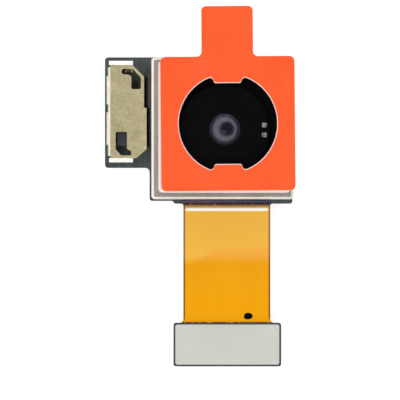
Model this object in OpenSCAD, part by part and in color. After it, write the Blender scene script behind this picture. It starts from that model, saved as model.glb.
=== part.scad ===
// Camera module of a phone, lying on its back with the lens facing up.
// Everything is in millimetres. The origin is where the optical axis meets the rear face. +Z runs
// along the optical axis towards the lens, and +Y runs from the connector towards the pull tab.
//
// The module focuses by sliding a carriage up on two rows of balls, and steadies the picture by
// sliding the lens across that carriage on two more layers of balls, one for X and one for Y.

/* [Lens] */
// Number and edge radius of the lens elements, from the rear one to the front one
lens_edge_r = [2.75, 2.5, 2.25, 2.05, 1.85, 1.65]; // each from 1.5 to 2.8
// Edge thickness of each element, in the same order
lens_edge_t = [0.5, 0.4, 0.35, 0.35, 0.3, 0.5]; // each from 0.25 to 0.7
// Clear radius of each element
lens_clear_r = [2.3, 1.9, 1.6, 1.4, 1.25, 1.25]; // each from 1.1 to its edge radius less 0.3
// Rise of each front surface above the edge, negative where it is hollow
lens_front_rise = [-0.12, -0.1, -0.06, 0.04, -0.02, 0.42]; // [-0.2:0.01:0.5]
// Rise of each rear surface below the edge, negative where it is hollow
lens_rear_rise = [-0.15, -0.05, 0.06, 0.02, -0.08, -0.06]; // [-0.2:0.01:0.1]
// Thickness of the blackened spacer foils between the elements
spacer_t = 0.03; // [0.02:0.01:0.06]
// Outside radius of the lens barrel
barrel_r = 3.05; // [2.95:0.05:3.2]
// Height of the ring that holds the elements in from behind
retainer_t = 0.2; // [0.1:0.05:0.3]
// Thickness of the barrel's front lip over the first element
barrel_lip_t = 0.55; // [0.45:0.05:0.8]
// Radius of the chamfer's mouth around the first element
barrel_mouth_r = 1.5; // [1.35:0.05:2]
// Radius of the barrel's front flange, which hides the stopper plate's opening
hood_r = 3.7; // [3.5:0.05:3.9]
// Thickness of the barrel's front flange
hood_t = 0.15; // [0.1:0.01:0.2]

/* [Focus and steadying travel] */
// How far the carriage rises to focus on near things
focus_travel = 0.35; // [0.2:0.01:0.45]
// How far the lens slides each way, in X and in Y
steady_travel = 0.12; // [0.08:0.01:0.15]
// Radius of the balls that carry the focus carriage
focus_ball_r = 0.4; // [0.3:0.02:0.42]
// Radius of the balls under the two sliding frames
steady_ball_r = 0.3; // [0.25:0.01:0.32]
// Distance between two faces that balls keep apart, for the sliding frames
slide_gap = 0.16; // [0.1:0.01:0.2]
// Distance between the carriage and the wall that it runs along
rail_gap = 0.3; // [0.2:0.01:0.35]

/* [Actuator mouldings] */
// Wall thickness of the actuator housing
housing_wall = 0.45; // [0.4:0.01:0.55]
// Floor thickness of the actuator housing
housing_floor_t = 0.35; // [0.25:0.05:0.5]
// Height of the stops that the carriage rests on
stop_h = 0.1; // [0.05:0.01:0.2]
// Floor thickness of the focus carriage
carriage_floor_t = 0.45; // [0.4:0.05:0.6]
// Thickness of the carriage wall that holds the focus magnet
carriage_wall = 0.9; // [0.85:0.05:1]
// Thickness of the carriage's two posts
post_t = 0.35; // [0.25:0.05:0.4]
// Thickness of the frame that slides in X
x_frame_t = 0.5; // [0.45:0.05:0.7]
// Thickness of the lens holder's base plate
holder_plate_t = 0.48; // [0.4:0.02:0.6]
// Wall of the lens holder's ring
holder_wall = 0.4; // [0.3:0.05:0.5]
// Thickness of the stopper plate over the lens holder
stopper_t = 0.2; // [0.1:0.05:0.3]

/* [Magnets and coils] */
// Length of the magnets
magnet_l = 3.9; // [3:0.1:4.2]
// Thickness of the focus magnet
focus_magnet_t = 0.55; // [0.4:0.05:0.6]
// Thickness of the two steadying magnets
steady_magnet_t = 0.48; // [0.3:0.02:0.5]
// Height of the magnets
magnet_h = 1.4; // [1:0.1:1.5]
// Thickness of the steel yoke behind the focus magnet
yoke_t = 0.15; // [0.1:0.01:0.2]
// Thickness of the wound coils
coil_t = 0.35; // [0.2:0.01:0.36]
// Width of the coils' winding
coil_winding = 0.5; // [0.3:0.05:0.55]
// Thickness of the flexible circuit that carries the coils
coil_circuit_t = 0.08; // [0.05:0.01:0.1]
// Thickness of the steel plates that draw the magnets against the balls
preload_t = 0.1; // [0.05:0.01:0.11]

/* [Shield can] */
// Outside width and depth of the shield can
can_w = 11.5; // [11.3:0.1:14]
// Sheet thickness of the shield can
can_t = 0.2; // [0.12:0.01:0.25]
// Radius of the can's upright corners
can_corner_r = 0.3; // [0.28:0.02:0.9]
// Radius of the drawn edge around the can's top
can_edge_r = 0.25; // [0.22:0.01:0.4]
// Radius of the round opening in the can's top
can_opening_r = 4.65; // [4:0.05:4.8]
// Centre of the can from the optical axis, in X
can_x = -0.2; // [-0.3:0.05:0]
// Centre of the can from the optical axis, in Y
can_y = 0.07; // [0:0.01:0.2]

/* [Sensor] */
// Width of the image sensor
sensor_w = 7; // [5:0.1:7]
// Depth of the image sensor
sensor_d = 5.6; // [4:0.1:5.8]
// Thickness of the image sensor
sensor_t = 0.2; // [0.1:0.05:0.25]
// Thickness of the infrared filter
filter_t = 0.21; // [0.1:0.01:0.3]
// Height of the filter's holder above the board
filter_holder_h = 0.75; // [0.7:0.05:1]

/* [Main board] */
// Thickness of the steel plate glued behind the board
rear_plate_t = 0.15; // [0.1:0.01:0.3]
// Thickness of the main board
board_t = 0.4; // [0.35:0.01:0.6]
// Width of the board's wing beside the can
wing_w = 3.63; // [3.4:0.05:5]
// Length of the board's wing
wing_l = 8.99; // [8.8:0.05:9.6]
// How far the board shows past the can on the tail's side
board_margin = 0.35; // [0.3:0.01:0.6]

/* [Driver shield] */
// Width of the shield over the driver chips
shield_w = 3.26; // [3.2:0.02:3.3]
// Length of the shield over the driver chips
shield_l = 7.58; // [7.5:0.02:7.8]
// Height of the shield over the driver chips
shield_h = 0.9; // [0.8:0.05:1.2]
// How far the shield's left wall leans in from its foot to its top
shield_lean = 0.22; // [0:0.02:0.3]
// Sheet thickness of the shield over the driver chips
shield_t = 0.12; // [0.08:0.01:0.15]

/* [Film and gasket] */
// Width and depth of the release film, without its tab
film_w = 10.86; // [10:0.02:11.4]
// Thickness of the release film
film_t = 0.08; // [0.05:0.01:0.15]
// Width of the pull tab
tab_w = 4.17; // [3:0.01:6]
// Length of the pull tab
tab_l = 4.08; // [2:0.02:6]
// Skew at which the film was laid, in degrees
film_turn = 0.5; // [0:0.1:1]
// Radius of the film's opening over the lens
film_opening_r = 4.065; // [3.8:0.005:4.2]
// Distance from the opening's centre to the tips of its two teeth
tooth_reach = 3.35; // [3:0.05:3.6]
// Width of the teeth at their tips
tooth_w = 2.02; // [1.5:0.02:2.4]
// Width and depth of the adhesive gasket under the film
gasket_w = 10.7; // [10:0.1:10.8]
// Thickness of the adhesive gasket
gasket_t = 0.1; // [0.05:0.01:0.2]

/* [Tail and connector] */
// Width of the flexible tail
tail_w = 7.06; // [5:0.02:7.5]
// Length of the flexible tail between its two boards
tail_l = 9.68; // [6:0.02:20]
// Thickness of the flexible tail
tail_t = 0.12; // [0.08:0.01:0.15]
// Height of the tail's crest beside the main board
tail_crest = 1.12; // [0.7:0.02:1.3]
// Drop of the tail just past its crest
tail_fold = 0.13; // [0:0.01:0.3]
// Distance from the main board at which the tail's slope eases
tail_bend = 4.07; // [2:0.01:5]
// Height of the tail's dip before the connector
tail_dip = 0.56; // [0.4:0.02:0.8]
// Width of the small board that carries the connector
plug_board_w = 8.76; // [8.5:0.02:12]
// Depth of the small board that carries the connector
plug_board_d = 3.55; // [3.3:0.05:5]
// Thickness of the small board that carries the connector
plug_board_t = 0.22; // [0.2:0.01:0.3]
// Thickness of the stiffener on the connector's board
plug_plate_t = 0.2; // [0.1:0.01:0.3]
// Number of contacts in each of the connector's two rows
contact_count = 20; // [10:1:22]
// Spacing of the contacts
contact_pitch = 0.3; // [0.25:0.05:0.3]
// Height of the connector
plug_h = 0.62; // [0.5:0.01:0.9]

/* [Hidden] */
$fn = 96;

// Clearances
glue_gap = 0.01;     // between pieces that are bonded round a bore
running_gap = 0.08;  // beside anything that slides, past the end of its travel
ball_gap = 0.01;     // between a ball and its groove
wall_gap = 0.1;      // between the carriage and the housing
end_play = 0.03;     // at each end of a row of balls
hood_gap = 0.05;     // between the barrel's flange and the stopper plate
lift_gap = 0.1;      // over the lens holder, and over the carriage at the top of its travel
seat_gap = 0.02;     // beside a magnet, a coil or a filter in its seat
frame_margin = 0.05; // past the running gap, at the two free edges of the sliding frames
cut = 0.05;          // how far a cut runs past a face

// Offsets inside the actuator
magnet_proud = 0.2;       // how far the focus magnet stands out of the carriage's wall
magnet_lift = 0.08;       // the steadying magnets, over the holder's base
focus_magnet_lift = 0.3;  // the focus magnet, over the carriage's floor
focus_ball_lift = 0.2;    // the lowest focus ball, over the carriage's underside
focus_ball_in = 0.95;     // the two rows of focus balls, from the carriage's ends
ball_in = 0.5;            // the other balls, from the edge that their groove runs across
x_ball_in = 1.25;         // the balls for X, from the frame's ends
y_ball_in = 1.4;          // the balls for Y, from the frame's sides

// Heights, from the rear face up
board_top = rear_plate_t + board_t;
filter_top = board_top + filter_holder_h;
floor_top = filter_top + housing_floor_t;
carriage_z = floor_top + stop_h;
x_slide_z = carriage_z + carriage_floor_t;
x_frame_z = x_slide_z + slide_gap;
y_slide_z = x_frame_z + x_frame_t;
holder_z = y_slide_z + slide_gap;
barrel_z = carriage_z + stop_h;
lens_count = len(lens_edge_r);
function lens_z(k) = k == 0 ? barrel_z + retainer_t : lens_z(k - 1) + lens_edge_t[k - 1] + spacer_t;
lens_top = lens_z(lens_count - 1) + lens_edge_t[lens_count - 1];
barrel_top = lens_top + barrel_lip_t;
stopper_top = barrel_top - hood_t - hood_gap;
stopper_z = stopper_top - stopper_t;
holder_top = stopper_z - lift_gap;
can_under = stopper_top + focus_travel + lift_gap;
can_top = can_under + can_t;
magnet_z = holder_z + magnet_lift;
focus_magnet_z = x_slide_z + focus_magnet_lift;
housing_top = can_under - wall_gap;

// Plan sizes of the actuator, from the can inwards
housing_w = can_w - 2 * (can_t + coil_circuit_t + preload_t + seat_gap);
room_w = housing_w - 2 * housing_wall;
room_left = can_x - room_w / 2;
room_right = can_x + room_w / 2;
room_front = can_y - room_w / 2;
room_back = can_y + room_w / 2;
carriage_left = room_left + rail_gap;
carriage_right = room_right - wall_gap;
carriage_front = room_front + wall_gap;
carriage_back = room_back - wall_gap;
slide_play = steady_travel + running_gap;
frame_left = carriage_left + carriage_wall + slide_play;
frame_right = carriage_right - post_t - slide_play;
frame_front = room_front + slide_play + frame_margin;
frame_back = room_back - slide_play - frame_margin;
holder_bore_r = barrel_r + glue_gap;
x_magnet_face = room_right - steady_travel - frame_margin;
y_magnet_face = room_back - steady_travel - frame_margin;

// Where the balls sit
function corners(in_x, in_y) = [
    for (x = [frame_left + in_x, frame_right - in_x], y = [frame_front + in_y, frame_back - in_y]) [x, y]
];
x_ball_at = corners(ball_in, x_ball_in);
y_ball_at = corners(y_ball_in, ball_in);
focus_ball_x = room_left + rail_gap / 2;
focus_ball_y = [carriage_front + focus_ball_in, carriage_back - focus_ball_in];
focus_ball_pitch = 2 * focus_ball_r + ball_gap;
focus_ball_z = carriage_z + focus_ball_lift + focus_travel / 2 + end_play + focus_ball_r;

// Plan of the main board and its wing
board_past_left = 0.15;    // how far the board runs past the can
board_past_back = 0.05;
board_short_right = 0.04;  // how far it stops short of the can's right side
board_step = 0.23;         // the step in its front edge
board_step_x = -4.15;
board_left = can_x - can_w / 2 - board_past_left;
board_right = can_x + can_w / 2 - board_short_right;
board_back = can_y + can_w / 2 + board_past_back;
board_front = can_y - can_w / 2 - board_margin;
wing_left = board_left - wing_w;
wing_front = board_back - wing_l;
shield_in_left = 0.13;  // the driver shield, in from the wing's edges
shield_in_back = 0.62;
shield_left = wing_left + shield_in_left;
shield_right = shield_left + shield_w;
shield_back = board_back - shield_in_back;
shield_front = shield_back - shield_l;

shield_step = 0.21;
shield_step_y = shield_back - 3.49;
foot_w = 0.09; // the solder outside the left wall's foot

// The doorway in the can's foot for the actuator's terminals, and the sealant's height in it
door_back = can_y + 4.4;
door_front = can_y - 1.5;
seal_h = 0.7;

// The tail and the connector
tail_x = 0.18;
plug_x = 0.22;
tail_root_depth = 1;
tail_root_z = rear_plate_t + board_t - 0.1;
plug_board_z = plug_h;
plug_back = board_front - tail_l;
plug_y = plug_back - plug_board_d / 2;
tail_plug_z = plug_board_z + plug_board_t / 2;

// The film, and the gasket that it covers
film_x = 0.26;
film_y = 0.46;
gasket_x = can_x + 0.19;
gasket_y = can_y + 0.15;
gasket_shows = 0.08; // how far the gasket shows inside the film's opening

// ---------------------------------------------------------------- outlines

function unit(v) = v / norm(v);
function turned(v, a) = [v.x * cos(a) - v.y * sin(a), v.x * sin(a) + v.y * cos(a)];

// The arc that rounds corner p, between its neighbours a and b, to p's third number
function corner_arc(a, p, b) =
    let(
        q = [p.x, p.y],
        u = unit([a.x, a.y] - q),
        v = unit([b.x, b.y] - q),
        half = acos(u * v) / 2,
        centre = q + unit(u + v) * p[2] / sin(half),
        from = q + u * p[2] / tan(half) - centre,
        sweep = (cross(from, q + v * p[2] / tan(half) - centre) > 0 ? 1 : -1) * (180 - 2 * half)
    )
    p[2] == 0 ? [q] : [for (i = [0:8]) centre + turned(from, sweep * i / 8)];

// An outline whose corners [x, y, radius] are rounded
function rounded(corners) =
    let(n = len(corners))
    [for (i = [0:n - 1]) each corner_arc(corners[(i + n - 1) % n], corners[i], corners[(i + 1) % n])];

// A rectangle with round corners, centred
module round_rect(w, d, r) {
    square([w - 2 * r, d], center = true);
    square([w, d - 2 * r], center = true);
    for (x = [-1, 1], y = [-1, 1]) {
        translate([x * (w / 2 - r), y * (d / 2 - r)]) circle(r);
    }
}

// A plate between two corners of a rectangle
module slab(left, front, right, back, low, high, r = 0.2) {
    translate([(left + right) / 2, (front + back) / 2, low])
        linear_extrude(high - low)
            round_rect(right - left, back - front, r);
}

// A box between two corners
module block(low, high) {
    translate(low) cube(high - low);
}

// A groove with sloping sides that holds a ball, along one axis, centred on the balls
module groove(r, length, turn) {
    rotate(turn)
        rotate([0, 0, 22.5])
            cylinder(r = (r + ball_gap) / cos(22.5), h = length, center = true, $fn = 8);
}

// ---------------------------------------------------------------- rear plate and boards

// Outline of the main board, drawn in by a margin
module board_outline(inset) {
    step_x = board_step_x + inset;
    polygon(rounded([
        [wing_left + inset, board_back - inset, 0.25],
        [board_right - inset, board_back - inset, 0.2],
        [board_right - inset, board_front + inset, 0.2],
        [step_x + board_step / 2, board_front + inset, 0.05],
        [step_x - board_step / 2, board_front + board_step + inset, 0.05],
        [board_left + inset, board_front + board_step + inset, 0.2],
        [board_left + inset, wing_front + inset, 0.35],
        [wing_left + inset, wing_front + inset, 0.25]
    ]));
}

module rear_plate() {
    color("dimgray") linear_extrude(rear_plate_t) board_outline(0.15);
}

module main_board() {
    color("darkslategray") difference() {
        translate([0, 0, rear_plate_t]) linear_extrude(board_t) board_outline(0);
        // the tail comes out from between the board's layers
        block(
            [tail_x - tail_w / 2, board_front - cut, tail_root_z - tail_t / 2],
            [tail_x + tail_w / 2, board_front + tail_root_depth, tail_root_z + tail_t / 2]
        );
    }
}

module image_sensor() {
    color("midnightblue") block(
        [-sensor_w / 2, -sensor_d / 2, board_top],
        [sensor_w / 2, sensor_d / 2, board_top + sensor_t]
    );
}

// A chip capacitor lying along X
module capacitor() {
    translate([-0.3, -0.15, 0]) cube([0.6, 0.3, 0.3]);
}

module board_capacitors() {
    color("tan")
        for (x = [-3:1.2:3], y = [-4.05, 4.2]) {
            translate([x, y, board_top]) capacitor();
        }
}

// The filter's plan and place
filter_in_x = 0.23; // drawn in from the sensor's edges
filter_in_y = 0.13;
filter_z = filter_top - filter_t - seat_gap;

// A plate over the sensor, larger than it by a margin in X and in Y
module over_sensor(out_x, out_y, low, high, r) {
    x = sensor_w / 2 + out_x;
    y = sensor_d / 2 + out_y;
    slab(-x, -y, x, y, low, high, r);
}

module filter_holder() {
    wall = 0.6;
    room = 0.2;
    wire_h = 0.15;
    ledge = 0.55;
    color("black") difference() {
        over_sensor(wall, wall, board_top, filter_top, 0.3);
        // the room over the sensor and its bond wires
        over_sensor(room, room, board_top - cut, board_top + sensor_t + wire_h, 0.15);
        // the window, and the seat of the filter
        over_sensor(-ledge, -ledge, board_top, filter_top + cut, 0.15);
        over_sensor(seat_gap - filter_in_x, seat_gap - filter_in_y, filter_z, filter_top + cut, 0.1);
    }
}

module infrared_filter() {
    half = [sensor_w / 2 - filter_in_x, sensor_d / 2 - filter_in_y];
    color("lightblue") block([-half.x, -half.y, filter_z], [half.x, half.y, filter_z + filter_t]);
}

// ---------------------------------------------------------------- actuator housing

// Places its children on the wall behind the focus magnet, facing out, at a height
module on_focus_wall(z) {
    translate([can_x - housing_w / 2, can_y, z]) rotate([90, 0, -90]) children();
}

module on_x_wall(z) {
    translate([can_x + housing_w / 2, can_y, z]) rotate([90, 0, 90]) children();
}

module on_y_wall(z) {
    translate([can_x, can_y + housing_w / 2, z]) rotate([90, 0, 180]) children();
}

focus_coil_z = focus_magnet_z + magnet_h / 2 + focus_travel / 2;
steady_coil_z = magnet_z + magnet_h / 2 + focus_travel / 2;
coil_l = magnet_l + 0.4;
coil_h = magnet_h + 0.5;
coil_gap = 0.05;

// Places its children on each of the three walls that hold a coil
module on_coil_walls() {
    on_focus_wall(focus_coil_z) children();
    on_x_wall(steady_coil_z) children();
    on_y_wall(steady_coil_z) children();
}

// A flat racetrack coil, wound into the wall from its outer face
module coil() {
    translate([0, 0, -coil_t]) linear_extrude(coil_t) difference() {
        round_rect(coil_l, coil_h, 0.6);
        round_rect(coil_l - 2 * coil_winding, coil_h - 2 * coil_winding, 0.2);
    }
}

module focus_coil() {
    color("peru") on_focus_wall(focus_coil_z) coil();
}

module x_coil() {
    color("peru") on_x_wall(steady_coil_z) coil();
}

module y_coil() {
    color("peru") on_y_wall(steady_coil_z) coil();
}

module position_sensors() {
    color("black") on_coil_walls() translate([-0.5, -0.25, -0.25]) cube([1, 0.5, 0.25]);
}

module actuator_housing() {
    skirt = 0.35;
    light_way = 0.15;
    stop_at = room_w / 2 - 0.9;
    color("black") difference() {
        translate([can_x, can_y, board_top])
            linear_extrude(housing_top - board_top)
                round_rect(housing_w, housing_w, can_corner_r - can_t);
        // the room over the board, around the filter's holder
        translate([can_x, can_y, board_top - cut])
            linear_extrude(filter_top - board_top + cut)
                round_rect(housing_w - 2 * skirt, housing_w - 2 * skirt, 0.3);
        // the room that the carriage moves in, with stops left standing on its floor
        difference() {
            slab(room_left, room_front, room_right, room_back, floor_top, housing_top + cut, 0.3);
            for (x = [-stop_at, stop_at], y = [-stop_at, stop_at]) {
                translate([can_x + x, can_y + y, floor_top - cut]) cylinder(r = 0.4, h = stop_h + cut);
            }
        }
        // the light's way down to the sensor
        translate([0, 0, filter_top - cut])
            cylinder(r = barrel_r + light_way, h = housing_floor_t + 2 * cut);
        // the two rails that the focus balls run in
        for (y = focus_ball_y) {
            low = focus_ball_z - focus_ball_r - end_play;
            high = focus_ball_z + 2 * focus_ball_pitch + focus_ball_r + focus_travel / 2 + end_play;
            translate([focus_ball_x, y, (low + high) / 2]) groove(focus_ball_r, high - low, [0, 0, 0]);
        }
        // the windows that the coils lie in
        on_coil_walls()
            translate([0, 0, -housing_wall - cut])
                linear_extrude(housing_wall + 2 * cut)
                    round_rect(coil_l + 2 * coil_gap, coil_h + 2 * coil_gap, 0.6);
    }
}

// The flexible circuit goes round three sides of the housing
module coil_circuit() {
    r = can_corner_r - can_t;
    w = housing_w + 2 * coil_circuit_t;
    color("saddlebrown") translate([can_x, can_y, filter_top])
        linear_extrude(housing_top - filter_top - 0.15) difference() {
            round_rect(w, w, r + coil_circuit_t);
            round_rect(housing_w, housing_w, r);
            translate([-w, -w]) square([2 * w, w / 2 + r]);
        }
}

module preload_plates() {
    color("silver") on_coil_walls()
        translate([0, 0, coil_circuit_t]) linear_extrude(preload_t) round_rect(3.2, 1.5, 0.2);
}

// ---------------------------------------------------------------- shield can

// A quarter of a disc
module quarter(r) {
    intersection() {
        circle(r);
        square(r);
    }
}

// A square box with round upright corners and a round top edge
module drawn_box(w, h, corner, edge) {
    flat = w - 2 * corner;
    linear_extrude(h - edge) round_rect(w, w, corner);
    translate([0, 0, h - edge]) {
        linear_extrude(edge) square([w - 2 * corner, w - 2 * corner], center = true);
        for (side = [0:3]) {
            rotate(90 * side) {
                translate([flat / 2, flat / 2, 0]) rotate([90, 0, 0]) linear_extrude(flat) union() {
                    square([corner - edge, edge]);
                    translate([corner - edge, 0]) quarter(edge);
                }
                translate([flat / 2, flat / 2, 0]) rotate_extrude(angle = 90) union() {
                    square([corner - edge, edge]);
                    translate([corner - edge, 0]) quarter(edge);
                }
            }
        }
    }
}

module shield_can() {
    h = can_top - board_top;
    notch_at = 3;
    notch_w = 0.8;
    notch_h = 0.35;
    color("silver") difference() {
        translate([can_x, can_y, board_top]) drawn_box(can_w, h, can_corner_r, can_edge_r);
        translate([can_x, can_y, board_top - cut])
            drawn_box(can_w - 2 * can_t, h - can_t + cut, can_corner_r - can_t, can_edge_r - can_t);
        translate([0, 0, can_top - can_t - cut]) cylinder(r = can_opening_r, h = can_t + 2 * cut);
        // glue notches in the foot of the three free sides
        for (side = [0, 1, 3], at = [-notch_at, notch_at]) {
            translate([can_x, can_y, board_top]) rotate(90 * side) block(
                [can_w / 2 - can_t - cut, at - notch_w / 2, -cut],
                [can_w / 2 + cut, at + notch_w / 2, notch_h]
            );
        }
        // the doorway for the actuator's terminals
        block(
            [can_x - can_w / 2 - cut, door_front, board_top - cut],
            [can_x - can_w / 2 + can_t + cut, door_back, board_top + seal_h + cut]
        );
    }
}

// A bead of black sealant over the actuator's terminals, as wide as the driver shield leaves room for
module terminal_seal() {
    left = can_x - can_w / 2;
    room = left - shield_right - seat_gap;
    // each stretch: its back end, its front end and its width
    stretches = [
        [door_back - seat_gap, shield_step_y, room + shield_step],
        [shield_step_y, door_front + seat_gap, room]
    ];
    color("black") for (stretch = stretches) {
        translate([left, stretch[0], board_top])
            rotate([90, 0, 0])
                linear_extrude(stretch[0] - stretch[1])
                    polygon([for (a = [0:10:90]) [-stretch[2] * cos(a), seal_h * sin(a)], [0, 0]]);
    }
}

// ---------------------------------------------------------------- gasket and release film

// The round opening with its two teeth
module toothed_opening(r, reach) {
    flare = 0.12;
    corner = 0.3;
    overlap = 0.01;
    side = tooth_w / 2 + flare;
    lobe = [side + corner, sqrt(pow(r - corner, 2) - pow(side + corner, 2))];
    difference() {
        circle(r);
        for (end = [0, 180]) {
            rotate(end) {
                polygon([
                    [-tooth_w / 2, reach], [tooth_w / 2, reach], [side, lobe.y],
                    [side, r + 1], [-side, r + 1], [-side, lobe.y]
                ]);
                for (hand = [0, 1]) {
                    mirror([hand, 0]) difference() {
                        translate([side - overlap, lobe.y])
                            square([lobe.x * r / (r - corner) - side + overlap, 1]);
                        translate(lobe) circle(corner);
                    }
                }
            }
        }
    }
}

module adhesive_gasket() {
    color("whitesmoke") translate([0, 0, can_top]) linear_extrude(gasket_t) difference() {
        translate([gasket_x, gasket_y]) round_rect(gasket_w, gasket_w, 0.35);
        translate([film_x, film_y])
            rotate(film_turn)
                toothed_opening(film_opening_r - gasket_shows, tooth_reach - gasket_shows);
    }
}

module release_film() {
    half = film_w / 2;
    tab = tab_w / 2;
    color("orangered") translate([film_x, film_y, can_top + gasket_t]) rotate(film_turn)
        linear_extrude(film_t) difference() {
            polygon(rounded([
                [-half, -half, 0.4], [half, -half, 0.4], [half, half, 0.4],
                [tab, half, 0.4], [tab, half + tab_l, 0.38], [-tab, half + tab_l, 0.38],
                [-tab, half, 0.4], [-half, half, 0.4]
            ]));
            toothed_opening(film_opening_r, tooth_reach);
        }
}

// ---------------------------------------------------------------- driver shield and its chips

// Outline of the driver shield, drawn in by a margin
module shield_outline(inset) {
    step_x = shield_right - shield_step;
    i = inset;
    polygon(rounded([
        [shield_left + i, shield_back - i, 0.12],
        [step_x - 0.95 - i * 0.4, shield_back - i, 0.05],
        [step_x - i, shield_back - 0.95 - i * 0.4, 0.05],
        [step_x - i, shield_step_y + i, 0.05],
        [shield_right - i, shield_step_y - i, 0.05],
        [shield_right - i, shield_front + 0.74 + i * 0.4, 0.05],
        [shield_right - 0.86 - i * 0.4, shield_front + i, 0.05],
        [shield_left + i, shield_front + i, 0.12]
    ]));
}

// Where the left wall's outer face is, at a height over the board
function lean_x(z) = shield_left + foot_w + shield_lean * z / shield_h;

// The shield's outer or inner form between two heights over the board, drawn in by a margin
module shield_form(inset, low, high) {
    intersection() {
        translate([0, 0, board_top + low]) linear_extrude(high - low) shield_outline(inset);
        translate([0, shield_back, board_top])
            rotate([90, 0, 0])
                linear_extrude(shield_l)
                    polygon([
                        [lean_x(low) + inset, low], [shield_right, low],
                        [shield_right, high], [lean_x(high) + inset, high]
                    ]);
    }
}

module driver_shield() {
    top = board_top + shield_h;
    corner_w = 0.32;
    corner_d = 0.18;
    color("darkkhaki") difference() {
        shield_form(0, 0, shield_h);
        shield_form(shield_t, -cut, shield_h - shield_t);
        // the upper cut-out in the shield's top
        translate([shield_left, shield_back, top - shield_t - cut]) linear_extrude(shield_t + 2 * cut)
            polygon(rounded([
                [1.23, -0.3, 0.2], [2.17, -0.35, 0.1], [2.8, -1.05, 0.1], [2.8, -1.97, 0.14],
                [2.02, -1.97, 0.14], [2.02, -0.92, 0.1], [1.76, -0.77, 0.1], [1.23, -0.77, 0.2]
            ]));
        // the lower cut-out
        translate([shield_left, shield_front, top - shield_t - cut]) linear_extrude(shield_t + 2 * cut)
            polygon(rounded([
                [0.74, 2.13, 0.1], [1.66, 2.13, 0.1], [1.66, 0.74, 0.1], [2, 0.58, 0.06],
                [2, 0.23, 0.06], [1.18, 0.23, 0.1], [0.74, 0.72, 0.1]
            ]));
        // the open corners beside the folded left wall
        for (y = [shield_back, shield_front]) {
            block(
                [shield_left - cut, y - corner_d, board_top - cut],
                [shield_left + corner_w, y + corner_d, top + cut]
            );
        }
    }
}

// Solder along the shield's two ends, and along its left wall's foot in two stretches
module shield_solder() {
    end_l = 1.95;
    foot_h = 0.25;
    color("white") {
        for (end = [[shield_back, 0], [shield_front, 1]]) {
            translate([shield_left + 0.2, end[0], board_top]) mirror([0, end[1], 0]) rotate([90, 0, 90])
                linear_extrude(end_l) polygon([[0, 0], [0.34, 0], [0.34, 0.06], [0, 0.3]]);
        }
        for (stretch = [[0.92, 3.2], [3.85, 6.49]]) {
            translate([0, shield_back - stretch[0], board_top])
                rotate([90, 0, 0])
                    linear_extrude(stretch[1] - stretch[0])
                        polygon([[shield_left, 0], [lean_x(0), 0], [lean_x(foot_h), foot_h]]);
        }
    }
}

// A chip on the board, placed from the shield's left front corner
module chip(at, size) {
    translate([shield_left + at.x, shield_front + at.y, board_top]) cube(size);
}

module driver_chip() {
    color("midnightblue") chip([0.5, 2.6], [2.2, 2.4, 0.55]);
}

module memory_chip() {
    color("slategray") chip([0.86, 1], [0.72, 1.03, 0.45]);
}

module gyro_chip() {
    color("black") chip([0.42, 5.38], [1.43, 1.2, 0.6]);
}

module driver_capacitors() {
    color("tan") {
        translate([shield_left + 1.83, shield_back - 0.45, board_top]) capacitor();
        translate([shield_left + 0.75, shield_back - 0.45, board_top]) capacitor();
        for (y = [1.35, 1.85]) {
            translate([shield_left + 2.4, shield_back - y, board_top]) capacitor();
        }
        translate([shield_left + 2.5, shield_front + 1.7, board_top]) rotate(90) capacitor();
    }
}

// ---------------------------------------------------------------- tail and connector

// Heights of the tail's middle along its length: [distance from the main board, height, slope]
tail_knots = [
    [-tail_root_depth, tail_root_z, 0],
    [0, tail_root_z, 0],
    [0.33, tail_crest, 0],
    [0.62, tail_crest - tail_fold, -0.11],
    [tail_bend, tail_dip + 0.05, -0.1],
    [tail_bend + 1.1, tail_dip, 0],
    [tail_l - 2.6, tail_dip, 0.01],
    [tail_l, tail_plug_z, 0],
    [tail_l + tail_root_depth, tail_plug_z, 0]
];

// A smooth curve between knots a and b, at t from 0 to 1: [distance, height]
function between(a, b, t) =
    let(
        run = b.x - a.x,
        rise = (1 + 2 * t) * pow(1 - t, 2) * a.y + t * t * (3 - 2 * t) * b.y
    )
    [a.x + run * t, rise + run * (t * pow(1 - t, 2) * a[2] - t * t * (1 - t) * b[2])];

tail_steps = [1, 8, 6, 5, 6, 2, 8, 1];
tail_line = [
    for (k = [0:len(tail_knots) - 2], i = [0:tail_steps[k] - 1])
        between(tail_knots[k], tail_knots[k + 1], i / tail_steps[k]),
    tail_knots[len(tail_knots) - 1]
];

// The line moved to one side of itself by d
function beside(line, d) = [
    for (i = [0:len(line) - 1])
        let(step = unit(line[min(i + 1, len(line) - 1)] - line[max(i - 1, 0)]))
        line[i] + d * [-step.y, step.x]
];

// The hollow fillets at both sides of one end of the tail
module flares(r) {
    for (hand = [0, 1]) {
        mirror([hand, 0]) translate([tail_w / 2, 0]) difference() {
            square(r);
            translate([r, r]) circle(r);
        }
    }
}

module flex_tail() {
    low = beside(tail_line, -tail_t / 2);
    high = beside(tail_line, tail_t / 2);
    color("orange") intersection() {
        translate([tail_x - plug_board_w / 2, board_front, 0])
            rotate([90, 0, 90])
                mirror([1, 0, 0])
                    linear_extrude(plug_board_w)
                        polygon([each low, for (i = [len(high) - 1:-1:0]) high[i]]);
        // the plan of the tail, which flares where it enters the two boards
        linear_extrude(tail_crest + 1) union() {
            translate([tail_x - tail_w / 2, plug_back - tail_root_depth])
                square([tail_w, tail_l + 2 * tail_root_depth]);
            translate([tail_x, plug_back]) flares(0.3);
            translate([tail_x, board_front]) mirror([0, 1]) flares(0.2);
        }
    }
}

// A bead along the board's edge, over the tail's root
module tail_seal() {
    front = can_y - can_w / 2;
    color("rebeccapurple")
        translate([tail_x - tail_w / 2 - 0.03, (board_front + front) / 2, board_top])
            rotate([90, 0, 90])
                linear_extrude(tail_w - 0.05)
                    polygon([for (a = [0:15:180]) [0.17 * cos(a), 0.1 * sin(a)]]);
}

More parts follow.
